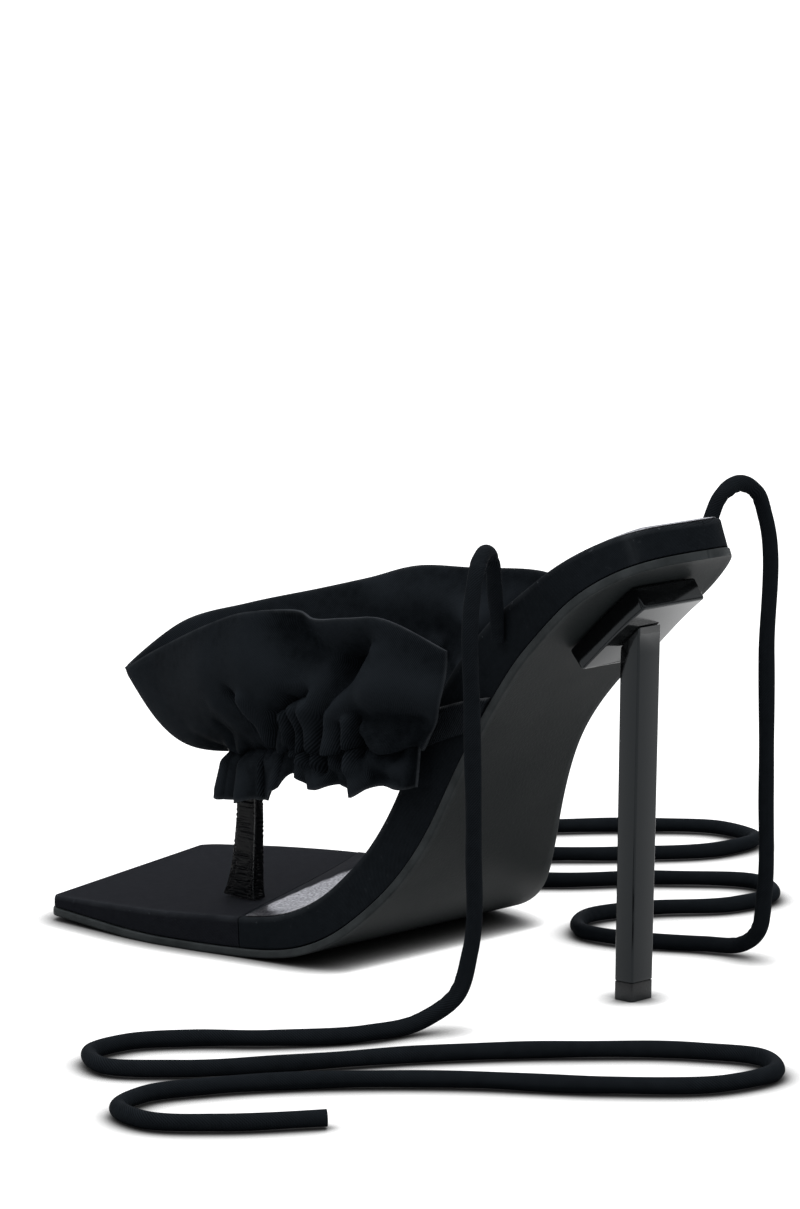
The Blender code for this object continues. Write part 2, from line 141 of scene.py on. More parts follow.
def foldLightMark(middle, blurs, gain):
    # how far a sheet bulges: second differences along both grid lines against the normal, blurred; it sets a
    # painted highlight on crests and painted shade in hollows
    normal = sheetNormal(middle)
    bulge = np.zeros(middle.shape[:2])
    lines = (np.s_[1:-1], np.s_[:-2], np.s_[2:]), (np.s_[:, 1:-1], np.s_[:, :-2], np.s_[:, 2:])
    for here, near, far in lines:
        bend = ((middle[near] + middle[far] - 2 * middle[here]) * normal[here]).sum(-1)
        bulge[here] -= bend / np.maximum(((middle[far] - middle[near]) ** 2).sum(-1) / 4, 0.01)
    for blur in range(blurs):
        padded = np.pad(bulge, 1, mode="edge")
        around = padded[:-2, 1:-1] + padded[2:, 1:-1] + padded[1:-1, :-2] + padded[1:-1, 2:]
        bulge = (bulge + around) / 5
    return np.tanh(gain * bulge)


def addObject(name, data):
    made = bpy.data.objects.new(name, data)
    bpy.context.scene.collection.objects.link(made)
    return made


def makePiece(name, shell, finish, slotName, node, extra=None):
    # u and v, in millimetres, become the UV map; the edge and an extra mark become attributes
    points, quads, fans, shares = shell
    corners = np.vstack([quads[:, :3], quads[:, [0, 2, 3]], fans])
    first, second, third = (points[corners[:, side]] for side in range(3))
    if (first * np.cross(second, third)).sum() < 0:
        quads, fans = quads[:, ::-1], fans[:, ::-1]
    mesh = bpy.data.meshes.new(name)
    mesh.from_pydata((points * mm).tolist(), [], quads.tolist() + fans.tolist())
    corner = np.zeros(len(mesh.loops), np.int32)
    mesh.loops.foreach_get("vertex_index", corner)
    cloth = mesh.uv_layers.new(name="cloth")
    cloth.data.foreach_set("uv", np.stack([shares[0][corner], shares[1][corner]], -1).ravel())
    for mark, share in zip(("edge", extra), shares[2:]):
        mesh.attributes.new(mark, "FLOAT", "POINT").data.foreach_set("value", share.astype(np.float32))
    mesh.shade_smooth()
    mesh.set_sharp_from_angle(angle=crisp)
    piece = addObject(name, mesh)
    mesh.materials.append(finish)
    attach(piece, body)
    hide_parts(node)
    print("made", name, "with", len(quads) + len(fans), "faces")
    return piece


# Camera

cameraSet = Plan(eye=(-733.1, 818.1, 264.2), aim=(75.4, 0.0, 85.5), roll=math.radians(-0.55), lens=143.2,
                 far=100)


def makeCamera(plan):
    camera = addObject("camera", bpy.data.cameras.new("camera"))
    camera.data.lens = plan.lens
    camera.data.clip_end = plan.far
    eye = Vector(plan.eye) * mm
    ahead = (Vector(plan.aim) * mm - eye).normalized()
    right = Matrix.Rotation(plan.roll, 3, -ahead) @ ahead.cross(Vector((0, 0, 1))).normalized()
    turn = Matrix((right, right.cross(ahead), -ahead)).transposed()
    camera.location = eye
    camera.rotation_euler = turn.to_euler()
    bpy.context.scene.camera = camera


makeCamera(cameraSet)
print("camera set")


# Shader groups shared by the finishes

def addNode(tree, kind, settings=None, **inputs):
    # inputs go by name, with _ for a space, or as in0, in1 and so on by place
    node = tree.nodes.new(kind)
    for key, value in (settings or {}).items():
        setattr(node, key, value)
    for key, value in inputs.items():
        socket = node.inputs[int(key[2:]) if key[2:].isdigit() else key.replace("_", " ")]
        if isinstance(value, bpy.types.NodeSocket):
            tree.links.new(value, socket)
        else:
            socket.default_value = value
    return node


def link(value, socket):
    socket.id_data.links.new(value, socket)


def mathNode(operation, first, second=0.0):
    tree = (first if isinstance(first, bpy.types.NodeSocket) else second).id_data
    return addNode(tree, "ShaderNodeMath", {"operation": operation}, in0=first, in1=second).outputs[0]


def times(first, second):
    return mathNode("MULTIPLY", first, second)


def plus(first, second):
    return mathNode("ADD", first, second)


def noise(place, scale, detail):
    return addNode(place.id_data, "ShaderNodeTexNoise", Vector=place, Scale=scale, Detail=detail).outputs[0]


def stretch(value, low, high):
    return addNode(value.id_data, "ShaderNodeMapRange", Value=value, From_Min=low, From_Max=high).outputs[0]


def newGroup(name, values, results):
    # a group that reads a place and named values, and puts out named values
    tree = bpy.data.node_groups.new(name, "ShaderNodeTree")
    tree.interface.new_socket("Vector", in_out="INPUT", socket_type="NodeSocketVector")
    for label, value in values.items():
        tree.interface.new_socket(label, in_out="INPUT", socket_type="NodeSocketFloat").default_value = value
    for label in results:
        tree.interface.new_socket(label, in_out="OUTPUT", socket_type="NodeSocketFloat")
    entry, leave = tree.nodes.new("NodeGroupInput").outputs, tree.nodes.new("NodeGroupOutput").inputs
    return tree, entry["Vector"], entry, leave


# fuzz, speck, mottle and patch give the scale and the detail of a noise
twillSet = Plan(rib=0.5, weft=0.18, weftTurns=1.7, level=0.5, wander=1.6, fuzz=(0.9, 3.0), speck=(2.6, 2.0),
                speckLow=0.4)


def makeTwillGroup(plan):
    # two sine waves crossed, one along each thread direction, roughened by noise
    tree, place, entry, leave = newGroup("twill", {"Pitch": 0.6, "Slant": 0.8}, ["Height", "Thread"])
    parts = addNode(tree, "ShaderNodeSeparateXYZ", in0=place).outputs
    turn = mathNode("DIVIDE", 2 * math.pi, entry["Pitch"])
    leaning = plus(parts[0], times(parts[1], entry["Slant"]))
    wander = times(noise(place, *plan.fuzz), plan.wander)
    across = plus(times(leaning, turn), wander)
    along = times(times(parts[1], turn), plan.weftTurns)
    rib = times(mathNode("SINE", across), plan.rib)
    weft = times(mathNode("SINE", along), plan.weft)
    height = plus(plus(rib, weft), plan.level)
    link(height, leave["Height"])
    specks = plus(noise(place, *plan.speck), plan.speckLow)
    link(times(height, specks), leave["Thread"])
    return tree


grainSet = Plan(cells=0.6, detail=4, mottle=(60.0, 3.0))


def makeGrainGroup(plan):
    # cells of leather grain: distance to the nearest cell point, plus fine noise
    tree, place, entry, leave = newGroup("grain", {"Scale": 1000.0}, ["Height", "Mottle"])
    cells = addNode(tree, "ShaderNodeTexVoronoi", Vector=place, Scale=entry["Scale"])
    raised = times(cells.outputs["Distance"], plan.cells)
    link(plus(raised, noise(place, entry["Scale"], plan.detail)), leave["Height"])
    link(noise(place, *plan.mottle), leave["Mottle"])
    return tree


edgeSet = Plan(patch=(180.0, 4.0), low=0.3, high=0.7, patchy=0.7)


def makeEdgeGroup(plan):
    # a mark along an edge, broken up by noise so that the wear is uneven
    tree, place, entry, leave = newGroup("edge wear", {"Edge": 0.0, "Amount": 1.0}, ["Mask"])
    patch = stretch(noise(place, *plan.patch), plan.low, plan.high)
    uneven = plus(times(patch, plan.patchy), 1 - plan.patchy)
    link(times(times(uneven, entry["Edge"]), entry["Amount"]), leave["Mask"])
    return tree


dustSet = Plan(speck=(900.0, 1.0), low=0.68, high=0.8)


def makeDustGroup(plan):
    # scattered pale specks: the peaks of a fine noise
    tree, place, entry, leave = newGroup("dust", {"Amount": 0.1}, ["Mask"])
    peaks = stretch(noise(place, *plan.speck), plan.low, plan.high)
    link(times(peaks, entry["Amount"]), leave["Mask"])
    return tree


twillGroup = makeTwillGroup(twillSet)
grainGroup = makeGrainGroup(grainSet)
edgeGroup = makeEdgeGroup(edgeSet)
dustGroup = makeDustGroup(dustSet)
print("shader groups ready")


# Finishes

def newFinish(name, rough, specular, tint=(1.0, 1.0, 1.0)):
    finish = bpy.data.materials.new(name)
    finish.use_nodes = True
    sockets = finish.node_tree.nodes["Principled BSDF"].inputs
    sockets["Roughness"].default_value = rough
    sockets["Specular IOR Level"].default_value = specular
    sockets["Specular Tint"].default_value = (*tint, 1.0)
    return finish, finish.node_tree, sockets


def mixColour(share, first, second):
    pair = [value if isinstance(value, bpy.types.NodeSocket) else (*value, 1.0) for value in (first, second)]
    mix = addNode(share.id_data, "ShaderNodeMix", {"data_type": "RGBA"}, in0=share, in6=pair[0], in7=pair[1])
    return mix.outputs[2]


def groupNode(group, place, **inputs):
    return addNode(place.id_data, "ShaderNodeGroup", {"node_tree": group}, Vector=place, **inputs).outputs


def markNode(tree, mark):
    return addNode(tree, "ShaderNodeAttribute", {"attribute_name": mark}).outputs["Fac"]


def placeNode(tree):
    return addNode(tree, "ShaderNodeTexCoord").outputs["Object"]


def addSurface(sockets, place, look, tone, gloss, height):
    # a dye between two tones, whose share also carries any painted fold light a finish passes in, pale along
    # worn edges and where dust lies, which gathers at frayed edges
    edge = markNode(place.id_data, "edge")
    worn = groupNode(edgeGroup, place, Edge=edge, Amount=look.edge)["Mask"]
    dust = groupNode(dustGroup, place, Amount=plus(times(edge, look.fray), look.dust))["Mask"]
    dyeAndFoldLight = mixColour(worn, mixColour(tone, look.dark, look.light), look.pale)
    link(mixColour(dust, dyeAndFoldLight, look.pale), sockets["Base Color"])
    link(gloss, sockets["Roughness"])
    bump = addNode(place.id_data, "ShaderNodeBump", Height=height, Strength=look.bump, Distance=look.depth)
    link(bump.outputs[0], sockets["Normal"])


def clothFinish(name, look):
    # black cloth: threads from the UV map lift the colour, gloss and surface, and folds get a painted
    # highlight on crests and painted shade in hollows
    finish, tree, sockets = newFinish(name, look.rough, look.specular)
    cloth = addNode(tree, "ShaderNodeUVMap", {"uv_map": "cloth"}).outputs[0]
    place = placeNode(tree)
    twill = groupNode(twillGroup, cloth, Pitch=look.pitch, Slant=look.slant)
    mottle = groupNode(grainGroup, place, Scale=look.mottle)["Height"]
    thread = times(twill["Thread"], plus(mottle, look.threadLeast))
    # painted fold light: the fold mark lifts the colour on crests and lowers it in hollows
    threadAndFoldLight = plus(thread, times(markNode(tree, "crest"), look.crest))
    gloss = plus(times(twill["Thread"], -look.threadGloss), look.rough + look.threadGloss / 2)
    addSurface(sockets, place, look, threadAndFoldLight, gloss, twill["Height"])
    return finish


def leatherFinish(name, look):
    # grain on object coordinates for the colour and the surface, mottled gloss, a pale worn edge
    finish, tree, sockets = newFinish(name, look.rough, look.specular, look.tint)
    place = placeNode(tree)
    grain = groupNode(grainGroup, place, Scale=look.grain)
    tone = plus(times(grain["Mottle"], look.mottleShare), times(grain["Height"], look.grainShare))
    swing = times(mathNode("SUBTRACT", grain["Mottle"], 0.5), look.swing)
    addSurface(sockets, place, look, tone, plus(swing, look.rough), grain["Height"])
    return finish


def glazeSock(finish, look):
    # a clear glaze over the sock, speckled by its grain; where the lap mark is set, the cover's dull cloth
    tree = finish.node_tree
    sockets = tree.nodes["Principled BSDF"].inputs
    lap = markNode(tree, "lap")
    below = sockets["Base Color"].links[0].from_socket
    link(mixColour(lap, below, look.dull), sockets["Base Color"])
    grain = groupNode(grainGroup, placeNode(tree), Scale=look.grain)["Height"]
    speck = plus(times(grain, look.speck), look.weight)
    link(times(speck, mathNode("SUBTRACT", 1.0, lap)), sockets["Coat Weight"])
    sockets["Coat Roughness"].default_value = look.rough
    sockets["Coat IOR"].default_value = look.index


# a look's fold-light share sets the strength of the painted highlight on fold crests and painted shade in
# hollows
satinLook = Plan(
    rough=0.65, specular=0.006, pitch=0.55, slant=0.8, bump=0.35, depth=0.00012,
    dark=(0.0048, 0.006, 0.0074), light=(0.0122, 0.015, 0.0184), mottle=420, crest=0.5,
    threadLeast=0.3, threadGloss=0.1, pale=(0.045, 0.05, 0.056), edge=0.5, dust=0.04, fray=0.8,
)
bandSatin = clothFinish("band satin", Plan(satinLook, edge=0.3, dust=0.13, fray=1.6))
frillSatin = clothFinish("frill satin", Plan(
    satinLook, pitch=0.42, slant=0.35, edge=0.9, bump=0.22,
    dark=(0.0032, 0.0042, 0.0053), light=(0.0155, 0.019, 0.0233),
))
toeSatin = clothFinish("toe satin", Plan(
    satinLook, rough=0.9, specular=0.02, pitch=0.45, dust=0.13,
    dark=(0.0058, 0.0064, 0.0084), light=(0.0138, 0.0152, 0.0192),
))
ribbonWeave = clothFinish("ribbon", Plan(
    satinLook, pitch=0.9, slant=0, edge=1, bump=0.7,
    light=(0.021, 0.025, 0.03), pale=(0.1, 0.105, 0.11),
))
cordTwill = clothFinish("cord twill", Plan(
    satinLook, pitch=0.7, slant=1, dust=0, fray=0, pale=(0.42, 0.33, 0.24),
))

leatherLook = Plan(
    rough=0.55, specular=0.06, tint=(1.0, 1.0, 1.0), grain=1500, bump=0.25, depth=0.00015,
    dark=(0.0113, 0.0138, 0.0147), light=(0.0197, 0.023, 0.024), swing=0.15, mottleShare=0.5,
    pale=(0.07, 0.078, 0.082), edge=0.5, dust=0.05, fray=0, grainShare=0.4,
)
outsoleLeather = leatherFinish("outsole leather", leatherLook)
sockLeather = leatherFinish("sock leather", Plan(
    leatherLook, rough=0.8, specular=0.016, grain=2300, edge=0,
    dark=(0.005, 0.005, 0.0075), light=(0.011, 0.011, 0.016),
))
glazeSock(sockLeather, Plan(
    weight=-0.55, speck=1.8, rough=0.34, index=1.43, grain=1500,
    dull=(0.0084, 0.0093, 0.012),
))
thongLeather = leatherFinish("thong leather", Plan(
    leatherLook, rough=0.2, specular=0.055, edge=0.3, bump=0.12,
    dark=(0.002, 0.0022, 0.0027), light=(0.0045, 0.005, 0.006),
))
heelGloss = leatherFinish("heel gloss", Plan(
    leatherLook, rough=0.1, specular=0.22, tint=(0.85, 0.94, 1.0), edge=0.15, dust=0.02,
    swing=0.05, bump=0.02, dark=(0.0022, 0.0024, 0.0028), light=(0.0035, 0.0038, 0.0042),
))
liftRubber = leatherFinish("lift rubber", Plan(
    leatherLook, rough=0.4, specular=0.25, edge=0.4,
    dark=(0.006, 0.0065, 0.0075), light=(0.01, 0.0108, 0.012),
))
print("finishes ready")


# Sole

sole = Plan(
    heelBack=-23.4, heelRound=25, run=245, toeRound=4, treadBack=182, treadFront=194,
    outsole=2, ledge=0.5, seamInner=168.5, seamOuter=207, seamTurn=118, runStep=0.1,
    narrow=0.45,
)
seamSlant = sole.seamOuter - sole.seamInner

# run from the heel back, fall in degrees, inner half width, outer half width, band height, front skew
soleRows = np.array([
    (0, 12.5, 21.4, 21, 6.7, 0), (14, 33.4, 23.3, 23.1, 8, 0),
    (28, 41.5, 24.3, 24.2, 9.6, 0), (44, 42.4, 23.4, 23.6, 11.7, 0),
    (60, 46.9, 20.1, 21.2, 13.4, 0), (76, 54.3, 17.8, 21, 14, 0),
    (90, 60.3, 17.4, 23.4, 13.5, 0), (104, 60.2, 18.2, 27.3, 12.5, 0),
    (118, 53.6, 21.3, 32.8, 11.2, 0), (132, 41.5, 26.4, 39.4, 9.9, 0),
    (146, 21.8, 29.7, 44.4, 8.9, 0), (160, 6.5, 31.6, 47.2, 8, 0),
    (174, 1.2, 33.6, 48.4, 7.4, 0), (182, 0, 35, 49, 7, 0),
    (194, 0, 36.5, 49.6, 6.4, 0.8), (205, -1.2, 36.9, 49.4, 5.8, 2.3),
    (225, -2, 36.2, 45.2, 4.3, 5.5), (245, -1.8, 35.4, 35.7, 2.7, 9.2),
])


def soleValue(run, column):
    return smoothCurve(soleRows[:, 0], soleRows[:, column], run)


# the underside's centre line: falls summed along the run, set down on the floor at the tread
lineRuns = np.arange(0, sole.run + sole.runStep / 2, sole.runStep)
lineFalls = np.radians(soleValue(lineRuns, 1))
onTread = (lineRuns > sole.treadBack - sole.runStep) & (lineRuns < sole.treadFront + sole.runStep)
lineFalls[onTread] = 0.0
midFalls = (lineFalls[1:] + lineFalls[:-1]) / 2
lineX = sole.heelBack + runningSum(np.cos(midFalls)) * sole.runStep
lineZ = -runningSum(np.sin(midFalls)) * sole.runStep
lineZ -= np.interp(sole.treadBack, lineRuns, lineZ)


def halfWidths(run):
    # the table's inner and outer width, less quarter circles at the heel and at the toe's corners
    back = np.clip(1 - run / sole.heelRound, 0, 1)
    front = np.clip((run - sole.run + sole.toeRound) / sole.toeRound, 0, 1)
    share, corner = np.sqrt(1 - back ** 2), sole.toeRound * (1 - np.sqrt(1 - front ** 2))
    return [soleValue(run, column) * share - corner for column in (2, 3)]


def bandTop(run):
    return sole.outsole + soleValue(run, 4)


def solePlace(run, across, lift):
    # along the centre line by run, sideways by across, off the underside by lift along its normal
    run, across, lift = np.broadcast_arrays(np.asarray(run, float), across, lift)
    fall = np.interp(run, lineRuns, lineFalls)
    half = np.where(across > 0, *halfWidths(run))
    skew = soleValue(run, 5) * across / np.maximum(half, 1.0)
    forward = np.interp(run, lineRuns, lineX) + np.sin(fall) * lift - skew
    return np.stack([forward, across, np.interp(run, lineRuns, lineZ) + np.cos(fall) * lift], -1)


def slabSection(plan):
    # one section: share across, inset from the edge, height share and rise, round the whole slab
    foot = [(inset, 0.0, rise) for inset, rise in zip(*quarterArc(plan.foot, plan.arc))]
    walls = np.linspace(0, 1, plan.wall + 2)[1:-1]
    wall = [(0.0, share, plan.foot * (1 - share) - plan.head * share) for share in walls]
    head = [(inset, 1.0, -drop) for drop, inset in zip(*quarterArc(plan.head, plan.arc))]
    side = [(0.0, *row) for row in foot + wall + head]
    top = [(share, 0.0, 1.0, 0.0) for share in np.linspace(0, 1, plan.top + 2)[1:-1]]
    far = [(1.0, *row[1:]) for row in side[::-1]]
    bottom = [(1 - share, 0.0, 0.0, 0.0) for share, *rest in top]
    return np.array(side + top + far + bottom)


def slabShell(plan, runs, runAt, low, high, inset=0.0, groove=lambda run: 0.0):
    # the section carried along the run: insets and rises follow the section, heights run from low to high
    section = slabSection(plan)
    share, back, level, rise = section.T[:, None, :]
    run = runAt(runs[:, None], share)
    inner, outer = halfWidths(run)
    side = np.where(share == 0.0, -1.0, np.where(share == 1.0, 1.0, 0.0))
    room = np.minimum(inset + back, sole.narrow * (inner + outer))
    room = room + groove(run) * (side < 0) * (level > 0) * (level < 1)
    across = inner * (1 - share) - outer * share + side * room
    rings = solePlace(run, across, low + (high(run) - low) * level + rise)
    around = np.broadcast_to(runAlong(rings[len(rings) // 2]), run.shape)
    return rings, run, around, section


def heelRuns(plan, stop):
    turn = np.linspace(math.acos(1 - plan.start / sole.heelRound), math.pi / 2, plan.heel)
    back = sole.heelRound * (1 - np.cos(turn))
    return np.concatenate([back, np.linspace(sole.heelRound, stop, plan.length)[1:]])


def toeRuns(plan, start):
    front = sole.run - quarterArc(sole.toeRound, plan.corner)[0]
    return np.concatenate([np.linspace(start, front[0], plan.toe)[:-1], front])


def sameRun(run, share):
    return run + 0 * share


def seamRun(run, share):
    return run + seamSlant * ramp(sole.seamTurn, sole.seamInner, run) * share


def toeRun(run, share):
    return run + seamSlant * share * (sole.run - run) / (sole.run - sole.seamInner - gap)


outsoleSet = Plan(
    start=0.0005, foot=0.5, head=0.3, wall=2, top=24, arc=5, heel=30, length=150, toe=50, corner=12,
)


def makeOutsole(plan):
    # a thin slab along the whole sole that stands out past the band by the ledge
    runs = np.concatenate([heelRuns(plan, sole.treadBack), toeRuns(plan, sole.treadFront)])
    whole = slabShell(plan, runs, sameRun, 0.0, lambda run: sole.outsole, -sole.ledge)
    rings, run, around, section = whole
    edge = np.isin(section[:, 0], (0.0, 1.0)) + 0 * run
    shell = loftShell(rings, [run, around, edge])
    makePiece("outsoleSkin", shell, outsoleLeather, "outsole_leather", "outsole")


bandSet = Plan(
    start=0.0005, foot=0.2, head=0.8, wall=10, top=20, arc=6, heel=34, length=200, edge=0.04, seamAt=7.4,
    seamDeep=0.3, seamHalf=0.35, seamRings=17, fray=0.9,
)


def makeBand(plan):
    # a slab from the outsole to the sock, grooved by a seam near the heel on its inner side
    near = plan.seamAt + np.linspace(-2, 2, plan.seamRings) * plan.seamHalf
    runs = np.sort(np.concatenate([heelRuns(plan, sole.seamInner), near]))

    def seam(run):
        return plan.seamDeep * bell((run - plan.seamAt) / plan.seamHalf)

    rings, run, around, section = slabShell(plan, runs, seamRun, sole.outsole + gap, bandTop, groove=seam)
    onEdge = bell((section[:, 2] - 1.0) / plan.edge) * (section[:, 1] < plan.head)
    frayed = bell((run - plan.seamAt) / plan.fray) * (section[:, 0] == 0.0)
    edge = onEdge * np.isin(section[:, 0], (0.0, 1.0)) + frayed
    makePiece("bandWrap", loftShell(rings, [run, around, edge]), bandSatin, "band_satin", "footbed")


toeSet = Plan(
    foot=0.2, head=0.8, wall=8, top=24, arc=6, toe=90, corner=14, frontRound=0.9, edge=0.04, edgeShare=0.5,
)


def makeToeWrap(plan):
    # a slab from the slanted seam to the toe
    runs = toeRuns(plan, sole.seamInner + gap)

    def top(run):
        # the band's height, rounded over at the front edge
        front = np.clip((run - sole.run) / plan.frontRound + 1, 0, 1)
        return bandTop(run) - plan.frontRound * (1 - np.sqrt(1 - front ** 2))

    rings, run, around, section = slabShell(plan, runs, toeRun, sole.outsole + gap, top)
    onEdge = bell((section[:, 2] - 1.0) / plan.edge) * np.isin(section[:, 0], (0.0, 1.0))
    edge = plan.edgeShare * onEdge + 0 * run
    makePiece("toeCover", loftShell(rings, [run, around, edge]), toeSatin, "toe_satin", "toe_wrap")


sockSet = Plan(
    start=3, inset=1.5, shy=0.8, under=0.1, thin=0.2, thick=1, feather=4.5, across=60, heel=40,
    length=150, lapSlant=27, lapSoft=0.5,
)


def makeSock(plan):
    # a thin layer on the band's top whose thickness grows with the distance from its edge
    stop = sole.seamInner - plan.shy
    runs = heelRuns(plan, stop)
    unslanted, share = np.meshgrid(runs, np.linspace(0, 1, plan.across), indexing="ij")
    run = seamRun(unslanted, share)
    inner, outer = (half - plan.inset for half in halfWidths(run))
    across = inner * (1 - share) - outer * share
    fromSide = np.minimum(share, 1 - share) * (inner + outer)
    fromEnd = np.minimum(unslanted - plan.start, stop - unslanted)
    grown = np.clip(np.minimum(fromSide, fromEnd) / plan.feather, 0, 1)
    thick = plan.thin + (plan.thick - plan.thin) * grown
    middle = solePlace(run, across, bandTop(run) + plan.under + thick / 2)
    past = run - sole.seamInner - plan.lapSlant * share
    lap = ramp(-plan.lapSoft, plan.lapSoft, past)
    shell = wallShell(middle, thick, [run, across, 0 * run, lap])
    makePiece("sock", shell, sockLeather, "sock_leather", "insole", "lap")


makeOutsole(outsoleSet)
makeBand(bandSet)
makeToeWrap(toeSet)
makeSock(sockSet)
print("sole done")


# Heel

heelSet = Plan(
    blockBack=16.5, blockFront=41, deep=6, halfBack=10.5, halfFront=11.2, shift=-0.8,
    blockRound=0.6, blockRings=40, blockEdge=0.5, lift=4.5, seat=0.04, soft=0.25,
    tip=(5.6, 7.2), top=(5.9, 7.6), topSet=-2.6, topAt=88,
    columnRound=0.5, columnRings=60, headRoom=1, liftEdge=0.6, arc=5,
)


def roundedOblong(halfLong, halfWide, radius, arcSteps):
    # a rectangle whose corners are quarter circles
    inset, rise = quarterArc(radius, arcSteps)
    corner = np.stack([halfLong - rise, halfWide - inset], -1)
    half = np.concatenate([corner, corner[::-1] * (-1, 1)])
    return np.concatenate([half, -half])


def makeHeelBlock(plan):
    # a rounded oblong section carried under the sole, closing in at both ends by the edge's radius
    radius, first, last = plan.blockRound, plan.blockBack, plan.blockFront
    inset, rise = quarterArc(radius, plan.arc)
    inside = np.linspace(first, last, plan.blockRings)[1:-1]
    runs = np.concatenate([first - radius + rise, inside, last + radius - rise[::-1]])[:, None]
    cut = np.concatenate([inset, 0 * inside, inset[::-1]])[:, None]
    half = plan.halfBack + (plan.halfFront - plan.halfBack) * (runs - first) / (last - first)
    deep = (plan.deep - gap) / 2
    x, y = roundedOblong(1.0, deep, radius, plan.arc).T
    across = np.sign(x) * (half - 1.0 - cut) + x
    drop = deep + gap + y * (1 - cut / deep)
    rings = solePlace(runs + 0 * across, across + plan.shift, -drop)
    edge = bell((np.abs(y) - deep) / plan.blockEdge) * (np.abs(x) < 1.0) + 0 * across
    shell = loftShell(rings, [runs + 0 * across, across, edge])
    makePiece("heelBlock", shell, heelGloss, "heel_gloss", "heel_block")


def columnRings(heights, shrink, plan):
    # rounded oblongs that grow and lean with the height, each drawn in by its shrink
    part = heights / plan.topAt
    sizes = (low + (high - low) * part for low, high in zip(plan.tip, plan.top))
    halfLong, halfWide = (size[:, None] / 2 - shrink[:, None] for size in sizes)
    x, y = roundedOblong(1.0, 1.0, plan.columnRound, plan.arc).T
    forward = np.sign(x) * (halfLong - 1.0) + x + plan.topSet * part[:, None]
    across = np.sign(y) * (halfWide - 1.0) + y
    return np.stack([forward, across, heights[:, None] + 0 * x], -1)


def makeColumnPiece(name, rings, edge, *rest):
    around = np.arange(rings.shape[1]) + 0 * rings[..., 2]
    makePiece(name, loftShell(rings, [rings[..., 2], around, edge]), *rest)


def makeHeelColumn(plan):
    # column and top lift: rounded oblongs between two heights, the head cut to the block's slope
    low, count = plan.lift + plan.seat, plan.columnRings
    inset, rise = quarterArc(plan.soft, plan.arc)
    heights = np.concatenate([low + rise, np.linspace(low + 1, plan.topAt, count)])
    rings = columnRings(heights, np.concatenate([inset, np.zeros(count)]), plan)
    below = plan.deep + gap
    slopeX, slopeZ = lineX - np.sin(lineFalls) * below, lineZ - np.cos(lineFalls) * below
    rings[-1, :, 2] = np.interp(rings[-1, :, 0], slopeX, slopeZ)
    keep = heights < rings[-1, :, 2].min() - plan.headRoom
    keep[-1] = True
    rings = rings[keep]
    makeColumnPiece("heelColumn", rings, 0 * rings[..., 2], heelGloss, "heel_gloss", "heel_column")
    heights = np.concatenate([rise, plan.lift - rise[::-1]])
    rings = columnRings(heights, np.concatenate([inset, inset[::-1]]), plan)
    edge = bell(rings[..., 2] / plan.liftEdge)
    makeColumnPiece("topLift", rings, edge, liftRubber, "lift_rubber", "top_lift")


makeHeelBlock(heelSet)
makeHeelColumn(heelSet)
print("heel done")


# Frill

# gather line forward, across, up, then rim forward, across, up
frillRows = np.array([
    (47.5, 21.6, 57.4, 34, 26.5, 81.9), (56, 23, 56.3, 49, 31, 88.2),
    (66.5, 23.7, 55, 62, 32, 87.3), (79, 22.8, 52.6, 75, 31.1, 85.6),
    (90.5, 21, 51.2, 86.5, 30, 86.4), (101, 18.9, 49.8, 101.5, 28.1, 84),
    (112, 16.8, 48, 118.5, 25, 78.4), (121.2, 15.2, 46.6, 142, 19, 69.6),
    (124.6, 11, 46.6, 159.1, 14, 62.8), (121, 5.8, 47.4, 150.6, 2, 73.8),
    (111.5, -2.2, 49.6, 140.4, -11, 77.9), (100.5, -11.5, 52.5, 127.6, -23, 81.4),
    (90, -20, 55, 116.9, -31, 84.6), (79.5, -26.6, 57, 104.7, -37, 88.2),
    (68, -30.6, 58.5, 88, -40, 88.9), (57, -31, 59.2, 65, -39.5, 90.2),
    (48, -29, 59, 46, -37, 87),
])

frillSet = Plan(
    along=540, up=56, down=24, alongSize=13, upSize=33, downSize=10, beside=0.1,
    wall=1.2, hemWall=0.5, hemRun=2, edgeRun=0.45, puff=3, puffPower=0.8, flare=1.6,
    waveShare=0.35, spread=2.5, rimCalm=0.35, hemWave=0.6, outerShare=0.5,
    pleatSoft=0.035, pleatFull=0.3, flute=1.2,
    fine=0.45, fineFade=0.1, fineFull=0.04, fineStop=0.5,
    broad=0.5, broadFade=0.3, broadFull=0.1, broadBelow=0.5,
    pinch=0.35, pinchHalf=0.04, pinchSway=0.015, pinchRate=2.3, pinchLeast=0.2,
    pinchSpan=(-0.4, 0.7), loose=0.85, looseSpan=(4.4, 4.9, 11.1, 11.6),
    lip=1.5, lipDrop=3, lipAt=0.075, lipHalf=0.05, lipFull=0.03, lipGap=(6.3, 6.9, 8.6, 9.2),
    tuck=4.2, tuckAt=7.6, tuckHalf=0.95, tuckUp=0.14, tuckBelow=0.4,
    sag=6.2, sagAt=8, sagHalf=1, rear=5.5, rearHalf=0.7,
    # scales of the painted fold light: share, blur passes and gain, fine then broad
    crests=((0.45, 3, 3.0), (0.75, 110, 14.0)),
)

